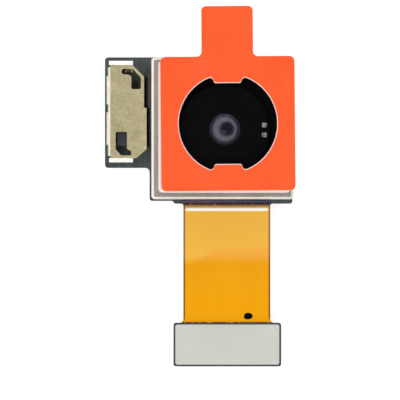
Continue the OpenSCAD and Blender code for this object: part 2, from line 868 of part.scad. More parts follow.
module plug_board() {
    color("darkslategray") difference() {
        translate([plug_x, plug_y, plug_board_z])
            linear_extrude(plug_board_t)
                round_rect(plug_board_w, plug_board_d, 0.2);
        block(
            [tail_x - tail_w / 2, plug_back - tail_root_depth, tail_plug_z - tail_t / 2],
            [tail_x + tail_w / 2, plug_back + cut, tail_plug_z + tail_t / 2]
        );
    }
}

module plug_plate() {
    color("lightgray")
        translate([plug_x, plug_y, plug_board_z + plug_board_t])
            linear_extrude(plug_plate_t)
                round_rect(plug_board_w - 0.32, plug_board_d - 0.3, 0.16);
}

rib_y = 0.55;
rib_t = 0.3;
rib_out = 0.1;    // how far the ribs run past the contacts
web_t = 0.18;     // the insulator's plate, against the board
contact_t = 0.04;
row_l = contact_count * contact_pitch;
plug_w = row_l + 1;

// The connector's insulator: a plate with two ribs that the contacts wrap, and an end block each side
module plug_housing() {
    rib_l = row_l / 2 + rib_out;
    color("black") translate([plug_x, plug_y, 0]) difference() {
        union() {
            translate([0, 0, plug_h - web_t]) linear_extrude(web_t) round_rect(plug_w, 1.8, 0.15);
            for (y = [-rib_y, rib_y]) {
                block([-rib_l, y - rib_t / 2, contact_t + seat_gap], [rib_l, y + rib_t / 2, plug_h]);
            }
            for (x = [-1, 1]) {
                translate([x * (plug_w / 2 - 0.2), 0, 0])
                    linear_extrude(plug_h) round_rect(0.4, 1.6, 0.12);
            }
        }
        // the channel that the mating connector's tongue enters
        block([-rib_l, rib_t / 2 - rib_y, -cut], [rib_l, rib_y - rib_t / 2, plug_h - 0.12]);
    }
}

// One contact: a strap over the rib's tip, with a tail soldered to the board
module contact() {
    w = 0.13;
    t = contact_t;
    side = rib_t / 2;
    bend = side + 0.3;
    web = plug_h - web_t;
    translate([-w / 2, 0, 0]) {
        block([0, -side - t, seat_gap], [w, side + t, seat_gap + t]);
        block([0, -side - t, seat_gap], [w, -side, web]);
        block([0, side, seat_gap], [w, side + t, web]);
        block([0, side, web - t], [w, bend, web]);
        block([0, bend - t, web - t], [w, bend, plug_h]);
        block([0, bend - t, plug_h - t], [w, bend + 0.2, plug_h]);
    }
}

module plug_contacts() {
    color("gold") translate([plug_x, plug_y, 0])
        for (i = [0:contact_count - 1], row = [0, 1]) {
            translate([(i - (contact_count - 1) / 2) * contact_pitch, 0, 0])
                mirror([0, row, 0])
                    translate([0, rib_y, 0])
                        contact();
        }
}

// A plated fitting over each end of the connector
module plug_fittings() {
    t = 0.05;
    color("gold") translate([plug_x, plug_y, 0]) for (hand = [0, 1]) {
        mirror([hand, 0, 0]) {
            block([plug_w / 2, -0.5, 0.05], [plug_w / 2 + t, 0.5, plug_h]);
            block([plug_w / 2 + t, -0.5, plug_h - t], [plug_w / 2 + 0.25, 0.5, plug_h]);
        }
    }
}

// ---------------------------------------------------------------- focus carriage

module focus_balls() {
    color("silver") for (y = focus_ball_y, k = [0:2]) {
        translate([focus_ball_x, y, focus_ball_z + k * focus_ball_pitch]) sphere(focus_ball_r);
    }
}

module focus_carriage() {
    magnet_seat = carriage_left + focus_magnet_t - magnet_proud + yoke_t;
    post_l = 1.5;
    color("black") difference() {
        union() {
            slab(carriage_left, carriage_front, carriage_right, carriage_back, carriage_z, x_slide_z, 0.25);
            slab(carriage_left, carriage_front, carriage_left + carriage_wall, carriage_back,
                carriage_z, stopper_z, 0.25);
            for (y = [carriage_front, carriage_back - post_l]) {
                slab(carriage_right - post_t, y, carriage_right, y + post_l, carriage_z, stopper_z, 0.1);
            }
        }
        translate([0, 0, carriage_z - cut])
            cylinder(r = barrel_r + sqrt(2) * steady_travel + running_gap, h = carriage_floor_t + 2 * cut);
        // the seat of the focus magnet and its yoke
        block(
            [carriage_left - cut, can_y - magnet_l / 2 - seat_gap, focus_magnet_z - seat_gap],
            [magnet_seat, can_y + magnet_l / 2 + seat_gap, focus_magnet_z + magnet_h + seat_gap]
        );
        // the grooves of the focus balls
        for (y = focus_ball_y) {
            low = focus_ball_z - focus_ball_r - focus_travel / 2 - end_play;
            high = focus_ball_z + 2 * focus_ball_pitch + focus_ball_r + end_play;
            translate([focus_ball_x, y, (low + high) / 2]) groove(focus_ball_r, high - low, [0, 0, 0]);
        }
        for (p = x_ball_at) {
            translate([p.x, p.y, x_slide_z + slide_gap / 2])
                groove(steady_ball_r, 2 * steady_ball_r + steady_travel + 2 * end_play, [0, 90, 0]);
        }
    }
}

// A block as long and as high as the magnets, between two faces across X
module magnet_block(left, right, z) {
    block([left, can_y - magnet_l / 2, z], [right, can_y + magnet_l / 2, z + magnet_h]);
}

module focus_magnet() {
    left = carriage_left - magnet_proud;
    color("silver") magnet_block(left, left + focus_magnet_t, focus_magnet_z);
}

module focus_yoke() {
    left = carriage_left - magnet_proud + focus_magnet_t;
    color("gray") magnet_block(left, left + yoke_t, focus_magnet_z);
}

// The plate over the lens holder, bonded to the carriage's wall and posts
module stopper_plate() {
    color("black") difference() {
        slab(carriage_left, carriage_front, carriage_right, carriage_back, stopper_z, stopper_top, 0.25);
        translate([0, 0, stopper_z - cut])
            cylinder(r = barrel_r + sqrt(2) * steady_travel + running_gap, h = stopper_t + 2 * cut);
    }
}

// ---------------------------------------------------------------- sliding frames

module x_balls() {
    color("silver") for (p = x_ball_at) {
        translate([p.x, p.y, x_slide_z + slide_gap / 2]) sphere(steady_ball_r);
    }
}

module x_frame() {
    slot = 2 * steady_ball_r + steady_travel + 2 * end_play;
    color("dimgray") difference() {
        slab(frame_left, frame_front, frame_right, frame_back, x_frame_z, y_slide_z, 0.3);
        translate([0, 0, x_frame_z - cut])
            cylinder(r = barrel_r + steady_travel + running_gap, h = x_frame_t + 2 * cut);
        for (p = x_ball_at) {
            translate([p.x, p.y, x_slide_z + slide_gap / 2]) groove(steady_ball_r, slot, [0, 90, 0]);
        }
        for (p = y_ball_at) {
            translate([p.x, p.y, y_slide_z + slide_gap / 2]) groove(steady_ball_r, slot, [90, 0, 0]);
        }
    }
}

module y_balls() {
    color("silver") for (p = y_ball_at) {
        translate([p.x, p.y, y_slide_z + slide_gap / 2]) sphere(steady_ball_r);
    }
}

module lens_holder() {
    arm = magnet_l / 2 + 0.15;
    arm_top = magnet_z + magnet_h;
    slot = 2 * steady_ball_r + steady_travel + 2 * end_play;
    color("black") difference() {
        union() {
            slab(frame_left, frame_front, frame_right, frame_back,
                holder_z, holder_z + holder_plate_t, 0.3);
            translate([0, 0, holder_z]) cylinder(r = barrel_r + holder_wall, h = holder_top - holder_z);
            // the arms that carry the magnets
            block([0, can_y - arm, holder_z], [x_magnet_face - steady_magnet_t, can_y + arm, arm_top]);
            block([can_x - arm, 0, holder_z], [can_x + arm, y_magnet_face - steady_magnet_t, arm_top]);
        }
        translate([0, 0, holder_z - cut])
            cylinder(r = holder_bore_r, h = holder_top - holder_z + 2 * cut);
        // the seat that the Y magnet is let into
        block(
            [can_x - magnet_l / 2 - seat_gap, y_magnet_face - steady_magnet_t, magnet_z - seat_gap],
            [can_x + magnet_l / 2 + seat_gap, frame_back + cut, magnet_z + magnet_h + cut]
        );
        for (p = y_ball_at) {
            translate([p.x, p.y, y_slide_z + slide_gap / 2]) groove(steady_ball_r, slot, [90, 0, 0]);
        }
    }
}

module x_magnet() {
    color("silver") magnet_block(x_magnet_face - steady_magnet_t, x_magnet_face, magnet_z);
}

module y_magnet() {
    color("silver") block(
        [can_x - magnet_l / 2, y_magnet_face - steady_magnet_t, magnet_z],
        [can_x + magnet_l / 2, y_magnet_face, magnet_z + magnet_h]
    );
}

// ---------------------------------------------------------------- lens

module lens_barrel() {
    front_r = lens_clear_r[lens_count - 1] + seat_gap;
    mouth_h = barrel_mouth_r - front_r;
    bevel = 0.04;
    color("black") difference() {
        union() {
            translate([0, 0, barrel_z]) cylinder(r = barrel_r, h = barrel_top - barrel_z);
            translate([0, 0, barrel_top - hood_t]) cylinder(r = hood_r, h = hood_t - bevel);
            translate([0, 0, barrel_top - bevel]) cylinder(r1 = hood_r, r2 = hood_r - bevel, h = bevel);
        }
        // the stepped bore, one step for each element and its foil
        translate([0, 0, barrel_z - cut])
            cylinder(r = lens_edge_r[0] + glue_gap, h = retainer_t + 2 * cut);
        for (k = [0:lens_count - 1]) {
            foil = k < lens_count - 1 ? spacer_t : 0;
            translate([0, 0, lens_z(k)]) cylinder(r = lens_edge_r[k] + glue_gap, h = lens_edge_t[k] + foil);
        }
        // the front opening and its chamfer
        translate([0, 0, lens_top - cut]) cylinder(r = front_r, h = barrel_lip_t + 2 * cut);
        translate([0, 0, barrel_top - mouth_h]) cylinder(r1 = front_r, r2 = barrel_mouth_r, h = mouth_h);
    }
}

// The part of a disc between its chord, of half-width r, and its crown
module cap(r, rise) {
    sphere_r = (r * r + rise * rise) / (2 * rise);
    intersection() {
        translate([0, rise - sphere_r]) circle(sphere_r, $fn = 720);
        square([r, rise]);
    }
}

// A lens element, with its edge between 0 and t
module element(k) {
    r = lens_clear_r[k];
    t = lens_edge_t[k];
    front = lens_front_rise[k];
    rear = lens_rear_rise[k];
    color("lightcyan", 0.5) translate([0, 0, lens_z(k)]) rotate_extrude($fn = 180) union() {
        difference() {
            square([lens_edge_r[k], t]);
            if (front < 0) {
                translate([0, t]) mirror([0, 1]) cap(r, -front);
            }
            if (rear < 0) {
                cap(r, -rear);
            }
        }
        if (front > 0) {
            translate([0, t]) cap(r, front);
        }
        if (rear > 0) {
            mirror([0, 1]) cap(r, rear);
        }
    }
}

// The elements are numbered from the front, as the light meets them
module lens_1() {
    element(5);
}

module lens_2() {
    element(4);
}

module lens_3() {
    element(3);
}

module lens_4() {
    element(2);
}

module lens_5() {
    element(1);
}

module lens_6() {
    element(0);
}

// Blackened foils between the elements, which stop stray light
module lens_spacers() {
    color("black") for (k = [0:lens_count - 2]) {
        translate([0, 0, lens_z(k) + lens_edge_t[k]]) linear_extrude(spacer_t) difference() {
            circle(lens_edge_r[k + 1]);
            circle(lens_clear_r[k] + seat_gap);
        }
    }
}

module lens_retainer() {
    color("black") translate([0, 0, barrel_z]) linear_extrude(retainer_t) difference() {
        circle(lens_edge_r[0]);
        circle(lens_clear_r[0]);
    }
}

rear_plate();
main_board();
image_sensor();
board_capacitors();
filter_holder();
infrared_filter();
actuator_housing();
coil_circuit();
focus_coil();
x_coil();
y_coil();
position_sensors();
preload_plates();
shield_can();
terminal_seal();
adhesive_gasket();
release_film();
driver_shield();
shield_solder();
driver_chip();
memory_chip();
gyro_chip();
driver_capacitors();
flex_tail();
tail_seal();
plug_board();
plug_plate();
plug_housing();
plug_contacts();
plug_fittings();
focus_balls();
focus_carriage();
focus_magnet();
focus_yoke();
stopper_plate();
x_balls();
x_frame();
y_balls();
lens_holder();
x_magnet();
y_magnet();
lens_barrel();
lens_spacers();
lens_retainer();
lens_1();
lens_2();
lens_3();
lens_4();
lens_5();
lens_6();
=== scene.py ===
import math

import bpy
import numpy as np
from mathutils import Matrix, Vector


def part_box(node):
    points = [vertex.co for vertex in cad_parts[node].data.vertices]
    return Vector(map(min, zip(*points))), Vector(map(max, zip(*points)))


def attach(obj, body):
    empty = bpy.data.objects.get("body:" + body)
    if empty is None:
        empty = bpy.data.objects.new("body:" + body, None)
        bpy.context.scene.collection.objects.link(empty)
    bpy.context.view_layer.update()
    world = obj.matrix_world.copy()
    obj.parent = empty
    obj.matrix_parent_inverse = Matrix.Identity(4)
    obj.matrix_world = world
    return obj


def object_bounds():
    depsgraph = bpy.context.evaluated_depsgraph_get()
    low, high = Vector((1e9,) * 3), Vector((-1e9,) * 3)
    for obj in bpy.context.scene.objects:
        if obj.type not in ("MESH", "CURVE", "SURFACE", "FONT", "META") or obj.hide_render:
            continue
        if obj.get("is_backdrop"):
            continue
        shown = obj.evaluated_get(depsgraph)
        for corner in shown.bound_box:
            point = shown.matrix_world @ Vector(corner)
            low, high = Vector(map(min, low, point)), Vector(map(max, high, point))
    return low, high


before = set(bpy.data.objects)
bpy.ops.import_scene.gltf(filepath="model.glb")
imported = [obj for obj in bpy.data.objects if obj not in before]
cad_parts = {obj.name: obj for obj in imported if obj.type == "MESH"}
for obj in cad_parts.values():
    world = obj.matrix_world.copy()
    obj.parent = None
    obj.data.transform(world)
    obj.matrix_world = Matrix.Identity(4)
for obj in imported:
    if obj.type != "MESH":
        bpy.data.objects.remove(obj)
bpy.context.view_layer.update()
MM = 1000.0  # millimetres in a metre

# ---------------------------------------------------------------- rear plate
# A plate of rolled stainless steel 0.15 mm thick, glued behind the main board to keep it flat and to
# carry its heat away. Its faces keep the fine scratches of the rolling mill, all one way.


class Wire:
    """One output of a material's nodes. Sums on it add Math nodes, and node() adds any other."""

    def __init__(self, socket):
        self.socket = socket

    def node(self, kind, settings, values, output=0):
        """Adds a node of a type, sets its settings, then puts a value or a link in each socket named,
        and gives back one of its outputs."""
        made = self.socket.id_data.nodes.new("ShaderNode" + kind)
        for setting, value in settings.items():
            setattr(made, setting, value)
        for key, value in values.items():
            socket = made.inputs[key] if isinstance(key, int) else next(
                s for s in made.inputs if s.name == key and s.enabled)
            if isinstance(value, Wire):
                made.id_data.links.new(value.socket, socket)
            else:
                socket.default_value = value
        return Wire(made.outputs[output])

    def maths(self, operation, *terms):
        return self.node("Math", {"operation": operation}, dict(enumerate(terms)))

    def __add__(self, other):
        return self.maths("ADD", self, other)

    def __sub__(self, other):
        return self.maths("SUBTRACT", self, other)

    def __rsub__(self, other):
        return self.maths("SUBTRACT", other, self)

    def __mul__(self, other):
        return self.maths("MULTIPLY", self, other)

    def __truediv__(self, other):
        return self.maths("DIVIDE", self, other)

    def __mod__(self, other):
        return self.maths("FLOORED_MODULO", self, other)

    def __abs__(self):
        return self.maths("ABSOLUTE", self)

    __radd__, __rmul__ = __add__, __mul__

    def least(self, other):
        return self.maths("MINIMUM", self, other)

    def most(self, other):
        return self.maths("MAXIMUM", self, other)

    def noise(self, scale, detail=2, rough=0.5):
        """Noise from 0 to 1 at each point, with scale waves to a millimetre."""
        return self.node("TexNoise", {}, {
            "Vector": self, "Scale": scale, "Detail": detail, "Roughness": rough})

    def cells(self, scale, feature="F1"):
        """Distance to the nearest of a scatter of points, scale of them to a millimetre."""
        return self.node("TexVoronoi", {"feature": feature}, {"Vector": self, "Scale": scale})

    def stretched(self, x, y, z):
        """The place, scaled by three numbers, so that a pattern on it is drawn out along an axis."""
        return self.node("VectorMath", {"operation": "MULTIPLY"}, {0: self, 1: (x, y, z)})

    def moved(self, x, y, z):
        """The place, counted from another point."""
        return self.node("VectorMath", {"operation": "SUBTRACT"}, {0: self, 1: (x, y, z)})

    def axes(self):
        """The place's three numbers, each a Wire."""
        split = self.node("SeparateXYZ", {}, {"Vector": self}).socket.node
        return [Wire(s) for s in split.outputs]

    def away(self):
        """How far the place is from the axis of Z, in millimetres."""
        level = self.stretched(1, 1, 0)
        return level.node("VectorMath", {"operation": "LENGTH"}, {0: level}, 1)

    def step(self, low, high, from_value=0.0, to_value=1.0):
        """A smooth step between two values of this number."""
        return self.node("MapRange", {"interpolation_type": "SMOOTHSTEP"}, {
            "Value": self, "From Min": low, "From Max": high, "To Min": from_value, "To Max": to_value})

    def between(self, low, high, soft):
        """1 where this number is between two values, falling to 0 over a soft edge."""
        return self.step(low - soft, low + soft) * self.step(high - soft, high + soft, 1.0, 0.0)

    def blend(self, first, second):
        """One colour turning into another as this number goes from 0 to 1."""
        return self.node("Mix", {"data_type": "RGBA"}, {"Factor": self, "A": first, "B": second}, 2)

    def ridges(self, pitch):
        """Distance from this number to the nearest of a row of lines, which lie half a pitch off 0."""
        return abs((self % pitch) - pitch / 2)

    def bump(self, microns):
        """A normal for a surface that this height lifts by so many thousandths of a millimetre."""
        return self.node("Bump", {}, {"Strength": 1.0, "Distance": microns * 1e-6, "Height": self})

    def facing(self):
        """The surface's own direction, as three numbers, each a Wire."""
        return self.node("NewGeometry", {}, {}, 1).axes()


def paint(red, green, blue):
    """The linear colour of a screen colour whose three numbers go to 255."""
    return tuple(c / 12.92 if c < 0.04045 else ((c + 0.055) / 1.055) ** 2.4
                 for c in (red / 255, green / 255, blue / 255)) + (1.0,)


def start(name):
    """A new material, its surface shader, and its points' places in millimetres."""
    made = bpy.data.materials.new(name)
    made.use_nodes = True
    tree = made.node_tree
    surface = next(n for n in tree.nodes if n.type == "BSDF_PRINCIPLED")
    place = Wire(tree.nodes.new("ShaderNodeTexCoord").outputs["Object"])
    return made, surface, place.node("VectorMath", {"operation": "SCALE"}, {"Vector": place, "Scale": MM})


def lay(surface, **values):
    """Puts a value or a Wire in each of a surface shader's sockets, named with _ for a space."""
    for key, value in values.items():
        socket = surface.inputs[key.replace("_", " ")]
        if isinstance(value, Wire):
            surface.id_data.links.new(value.socket, socket)
        else:
            socket.default_value = value


def give(finish, *nodes):
    """Puts a finish on CAD nodes."""
    for node in nodes:
        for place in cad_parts[node].material_slots:
            place.material = finish


def rolled_metal(name, light, dark, rough, along):
    """Rolled sheet: noise drawn out forty times along the rolling direction is the scratches, which lift
    the surface and change its gloss, and slow noise clouds its colour between two shades."""
    made, surface, place = start(name)
    grain = place.stretched(*[0.6 if axis == along else 24.0 for axis in "xyz"]).noise(1.0, 4, 0.6)
    clouds = place.noise(0.25, 3)
    fine = place.noise(9.0, 3, 0.6)
    mixed = grain * 0.55 + clouds * 0.3 + fine * 0.15
    lay(surface, Base_Color=mixed.step(0.3, 0.7).blend(dark, light), Metallic=1.0,
        Roughness=rough + (mixed - 0.5) * 0.3, Normal=(grain + fine * 0.4).bump(0.4))
    return made


give(rolled_metal("rear_steel", paint(214, 212, 207), paint(188, 186, 182), 0.36, "x"), "rear_plate")

# ---------------------------------------------------------------- main board
# A board of glass-filled epoxy in eight thin layers, with dark solder mask on both faces. The mask
# sinks a little between the copper tracks under it, and the routed edges show the layers.

board_finish, surface, place = start("board")
x, y, z = place.axes()
upright = abs(place.facing()[2]).step(0.4, 0.6, 1.0, 0.0)
ways = place.stretched(1.0, 1.0, 0.0).noise(0.5, 1)
tracks = (place.stretched(1.0, 0.25, 0.0).noise(2.6, 2) + ways).between(0.86, 1.02, 0.015)
holes = place.stretched(1.0, 1.0, 0.0).cells(1.7).step(0.05, 0.08, 1.0, 0.0)
weave = place.stretched(1.0, 1.0, 0.0).noise(16.0, 3, 0.6)
layers = ((z * 20.0) % 1.0).between(0.25, 0.75, 0.1)
mask = (place.noise(0.6, 3) * 0.7 + weave * 0.3).step(0.3, 0.7).blend(paint(62, 70, 70), paint(76, 84, 84))
mask = (tracks * 0.4).blend(mask, paint(88, 98, 96))
mask = (holes * 0.5).blend(mask, paint(40, 44, 44))
routed = layers.blend(paint(92, 110, 104), paint(132, 146, 136))
lay(surface, Base_Color=upright.blend(mask, routed), Roughness=0.44 + (weave - 0.5) * 0.2 + upright * 0.2,
    Normal=(tracks + weave * 0.2 - holes).bump(1.5), Specular_IOR_Level=0.45)
give(board_finish, "main_board")

# ---------------------------------------------------------------- board and driver capacitors
# Brown-grey barium titanate bricks with a dipped tin cap on each end, soldered to the board. The two by
# the driver shield's upper cut-out are painted near black as the shade inside it.


def capped(name, caps, shade_at=None):
    """A capacitor's finish: ceramic, with tin where the mask that caps() makes of the place is 1, and
    near-black painted shade where the function given last is 1 for its Y."""
    made, surface, place = start(name)
    tin = caps(place, *place.axes())
    grain = place.noise(30.0, 3, 0.6)
    fired = (grain * 0.5 + place.noise(3.0, 2) * 0.5).step(0.3, 0.7)
    ceramic = fired.blend(paint(104, 90, 78), paint(134, 116, 98))
    colour = tin.blend(ceramic, grain.blend(paint(214, 214, 208), paint(240, 240, 234)))
    if shade_at:
        # Painted shade: the two under the cut-out are turned near black, and their tin with them.
        black = shade_at(place.axes()[1]) * 0.96
        colour, tin = black.blend(colour, paint(20, 18, 18)), tin * (1.0 - black)
    lay(surface, Base_Color=colour, Metallic=tin * 0.35, Roughness=0.5 - tin * 0.12 + (grain - 0.5) * 0.2,
        Normal=(grain * 0.3 + tin).bump(2.5))
    return made


CAP_PITCH, CAP_ROW = 1.2, -3.0
CAP_END = (0.16, 0.19)
CAP_BACK_X, CAP_STACK_X, CAP_FRONT_Y = (-7.77, -8.85), -7.2, -0.63
CAP_FRONT_EDGE, CAP_BACK_EDGE, CAP_SHADE_Y = (0.9, 1.1), (4.3, 4.4), (3.0, 4.2)


def board_caps(place, x, y, z):
    """A row at one pitch along X, with tin past a share of each one's half length."""
    return (x - CAP_ROW + CAP_PITCH / 2).ridges(CAP_PITCH).step(*CAP_END)


def driver_caps(place, x, y, z):
    """Distance along its length from each capacitor's middle: two lie side by side behind, two lie one
    over the other, and one stands across them in front."""
    back = abs(x - CAP_BACK_X[0]).least(abs(x - CAP_BACK_X[1]))
    front = y.step(*CAP_FRONT_EDGE)
    behind = y.step(*CAP_BACK_EDGE)
    stacked = (front - behind) * abs(x - CAP_STACK_X)
    return (behind * back + stacked + (1.0 - front) * abs(y - CAP_FRONT_Y)).step(*CAP_END)


give(capped("board_capacitor", board_caps), "board_capacitors")
give(capped("driver_capacitor", driver_caps, lambda y: y.between(*CAP_SHADE_Y, 0.05)), "driver_capacitors")

# ---------------------------------------------------------------- image sensor
# A thinned silicon chip. Its middle is the field of pixels, which shimmers under the micro lenses, and
# the border has the row of bond pads.

PIXELS_X, PIXELS_Y = (2.98, 3.0), (2.23, 2.25)
PAD_PITCH, PAD_EDGE, PAD_ROW_X, PAD_ROW_Y = 0.16, (0.03, 0.05), (3.3, 3.4), (2.6, 2.7)
silicon, surface, place = start("silicon")
x, y, z = place.axes()
field = abs(x).step(*PIXELS_X, 1, 0) * abs(y).step(*PIXELS_Y, 1, 0)
pads = x.ridges(PAD_PITCH).step(*PAD_EDGE, 1, 0) * abs(y).between(*PAD_ROW_Y, 0.01)
pads = pads.most(y.ridges(PAD_PITCH).step(*PAD_EDGE, 1, 0) * abs(x).between(*PAD_ROW_X, 0.01))
streets = place.stretched(1, 1, 0).noise(7.0, 3, 0.7)
border = streets.step(0.35, 0.65).blend(paint(52, 54, 66), paint(74, 76, 92))
slant = (x * 0.1 + y * 0.14 + place.noise(0.3, 1)).step(0.2, 1.0)
shimmer = slant.blend(paint(44, 62, 60), paint(70, 52, 82))
lay(surface, Base_Color=pads.blend(field.blend(border, shimmer), paint(232, 224, 200)), Metallic=pads * 0.9,
    Roughness=0.26 - field * 0.1 + pads * 0.15, Normal=(streets * (1.0 - field) + pads).bump(0.4),
    Coat_Weight=0.4)
give(silicon, "image_sensor")

# ---------------------------------------------------------------- filter holder, housing and carriers
# Black liquid-crystal polymer, injection moulded. The flow of the glass-filled melt leaves long faint
# streaks, and the tool's spark-eroded faces leave an even fine grain.


def moulded(name, light, dark, rough):
    """Filled plastic: fine cells for the tool's grain, and slow drawn-out noise for the melt's flow."""
    made, surface, place = start(name)
    grain = place.cells(28.0) * 0.6 + place.noise(40.0, 2) * 0.4
    flow = place.stretched(1.0, 0.25, 1.0).noise(2.2, 4, 0.65)
    lay(surface, Base_Color=(flow * 0.3 + grain * 0.7).step(0.25, 0.65).blend(dark, light),
        Roughness=rough + (flow - 0.5) * 0.16, Normal=(grain + flow * 0.5).bump(0.8))
    return made


give(moulded("black_moulding", paint(34, 34, 36), paint(24, 24, 26), 0.52), "filter_holder",
     "actuator_housing", "focus_carriage", "lens_holder")
give(moulded("grey_moulding", paint(62, 62, 66), paint(50, 50, 54), 0.5), "x_frame")

# ---------------------------------------------------------------- infrared filter
# A pane of blue glass that stops infrared light, with a thin coating that tints it towards cyan and
# faint wash marks on its face.

pane, surface, place = start("filter_glass")
wash = place.stretched(1.0, 0.4, 1.0).noise(1.2, 3)
lay(surface, Base_Color=wash.step(0.3, 0.7).blend(paint(168, 214, 228), paint(186, 226, 236)),
    Transmission_Weight=1.0, IOR=1.52, Roughness=wash * 0.04, Normal=wash.bump(0.3))
give(pane, "infrared_filter")

# ---------------------------------------------------------------- coil circuit
# A strip of flexible circuit wrapped round the inside of the housing: amber polyimide over copper
# tracks, which show through it as paler bands that follow the strip.

strip, surface, place = start("coil_circuit")
x, y, z = place.axes()
tracks = z.ridges(0.36).step(0.07, 0.09)
blotch = place.noise(3.0, 3)
lay(surface, Base_Color=tracks.blend(blotch.blend(paint(176, 112, 40), paint(196, 130, 52)),
                                     blotch.blend(paint(214, 158, 78), paint(228, 176, 96))),
    Roughness=0.34 + blotch * 0.12, Normal=(tracks + blotch * 0.3).bump(3.0), Coat_Weight=0.3)
give(strip, "coil_circuit")

# ---------------------------------------------------------------- coils
# Self-bonding copper wire wound into flat racetracks, glued to the circuit. The enamel gives each turn
# its warm red-brown, and the turns stand proud of the grooves between them.

WIRE_PITCH = 0.05
for node, along in (("focus_coil", 1), ("x_coil", 1), ("y_coil", 0)):
    low, high = [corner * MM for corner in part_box(node)]
    size = high - low
    wound, surface, place = start(node)
    offset = place.moved(*((low + high) / 2)).axes()
    past = (abs(offset[along]) - (size[along] - size.z) / 2).most(0.0)
    squared = past * past + offset[2] * offset[2]
    ridge = squared.maths("SQRT", squared).ridges(WIRE_PITCH) * (2.0 / WIRE_PITCH)
    tone = place.noise(5.0, 2)
    enamel = (ridge * 0.7 + tone * 0.5).step(0.2, 1.0)
    lay(surface, Base_Color=enamel.blend(paint(222, 140, 92), paint(140, 74, 44)), Metallic=0.9,
        Roughness=0.3 + tone * 0.1, Normal=(1.0 - ridge).bump(9.0))
    give(wound, node)

# ---------------------------------------------------------------- position sensors
# Hall sensors in black moulded packages, soldered to the coil circuit. The mould has left their faces
# finely sanded.

package, surface, place = start("sensor_package")
sand = place.cells(36.0) * 0.5 + place.noise(50.0, 2) * 0.5
lay(surface, Base_Color=sand.step(0.25, 0.65).blend(paint(30, 30, 32), paint(46, 46, 49)),
    Roughness=0.55 + sand * 0.1, Normal=sand.bump(1.2))
give(package, "position_sensors")

# ---------------------------------------------------------------- magnets and steel
# Sintered neodymium blocks plated with nickel, cut square and tumbled. The plates that pull them and the
# yoke behind them are soft steel, blanked from rolled strip.

plated, surface, place = start("magnet")
pits = place.cells(14.0).step(0.06, 0.16)
tumbled = place.noise(6.0, 4, 0.65)
nickel = (tumbled * 0.6 + pits * 0.4).step(0.3, 0.8)
lay(surface, Base_Color=nickel.blend(paint(150, 148, 144), paint(198, 196, 190)), Metallic=1.0,
    Roughness=0.3 + (1.0 - pits) * 0.25, Normal=(tumbled + pits).bump(1.6))
give(plated, "focus_magnet", "x_magnet", "y_magnet")
give(rolled_metal("steel", paint(206, 204, 200), paint(172, 170, 166), 0.32, "y"), "focus_yoke",
     "preload_plates")

# ---------------------------------------------------------------- balls
# White zirconia balls lapped to a mirror, on which the carriers roll in their grooves. A faint haze is
# all that the lapping leaves.

ball, surface, place = start("ceramic_ball")
haze = place.noise(8.0, 2)
lay(surface, Base_Color=haze.blend(paint(222, 220, 214), paint(238, 236, 230)), Roughness=0.1 + haze * 0.06,
    Normal=haze.bump(0.2), Coat_Weight=0.5)
give(ball, "focus_balls", "x_balls", "y_balls")

# ---------------------------------------------------------------- stopper plate
# A sheet steel ring over the carriage that stops the lens in a fall, dipped in matte black so that it
# throws no light into the lens.

blacked, surface, place = start("black_stopper")
dip = place.noise(12.0, 3, 0.6)
lay(surface, Base_Color=dip.step(0.3, 0.7).blend(paint(5, 5, 7), paint(9, 9, 10)), Roughness=0.6 + dip * 0.1,
    Normal=dip.bump(0.8), Specular_IOR_Level=0.05)
give(blacked, "stopper_plate")

# ---------------------------------------------------------------- lens barrel, retainer and foils
# The barrel is moulded in black with faint rings from its turned mould, and coated against stray light.
# The retainer ring locks the stack from behind, and black foils lie between the elements.

coated, surface, place = start("black_barrel")
spray = place.noise(20.0, 3, 0.6)
drift = place.noise(0.35, 2)
turned = ((place.away() * 9.0) % 1.0).between(0.2, 0.8, 0.2)
lay(surface, Base_Color=(drift * 0.7 + spray * 0.3).step(0.3, 0.7).blend(paint(5, 4, 8), paint(9, 9, 10)),
    Roughness=0.55 + (spray - 0.5) * 0.2, Normal=(spray + turned * 0.2).bump(0.6), Specular_IOR_Level=0.05)
give(coated, "lens_barrel", "lens_retainer")

foil, surface, place = start("black_foil")
mat = place.noise(26.0, 2)
lay(surface, Base_Color=mat.blend(paint(12, 12, 13), paint(20, 20, 22)), Roughness=0.6 + mat * 0.1,
    Normal=mat.bump(0.5), Specular_IOR_Level=0.2)
give(foil, "lens_spacers")

# ---------------------------------------------------------------- lens elements
# Six elements moulded in clear optical plastic and stacked in the barrel. The coating that cuts their
# reflections leaves a faint violet, and their colour holds a painted reflection, lavender round a darker
# middle, which shows most on the front one.

REFLECTION_MIDDLE, REFLECTION_EDGE = (0.2, 0.05, 0.0), (0.4, 0.74)


def optical(name, bend, haze, gloss, clear):
    """Coated plastic, whose haze grows slowly outwards, with a painted reflection: its colour is lavender
    outside a round a little off the axis and darker inside it."""
    made, surface, place = start(name)
    coating = (place.away() * 0.5 + place.noise(0.5, 1) * 0.2).step(0.1, 1.1)
    # Painted reflection: the colour is lavender outside a round a little off the axis, darker inside it.
    reflection_ring = (place.moved(*REFLECTION_MIDDLE).away() + place.noise(1.4, 1) * 0.1).step(*REFLECTION_EDGE)
    lay(surface, Base_Color=reflection_ring.blend(paint(104, 104, 124), paint(232, 230, 250)),
        Transmission_Weight=clear, IOR=bend, Roughness=haze + coating * haze * 0.5,
        Specular_IOR_Level=gloss, Specular_Tint=(0.86, 0.84, 1.0, 1.0), Coat_Weight=gloss * 0.7,
        Coat_Roughness=haze, Coat_Tint=(0.97, 0.96, 1.0, 1.0))
    return made


give(optical("front_lens", 1.3, 0.13, 1.0, 0.94), "lens_1")
give(optical("inner_lens", 1.15, 0.06, 0.3, 1.0), "lens_2", "lens_3", "lens_4", "lens_5", "lens_6")

# ---------------------------------------------------------------- marks on the barrel's flange
# Two small squares that the maker's laser bleaches into the black flange, one above the other. Their
# edges are ragged and their faces speckled.

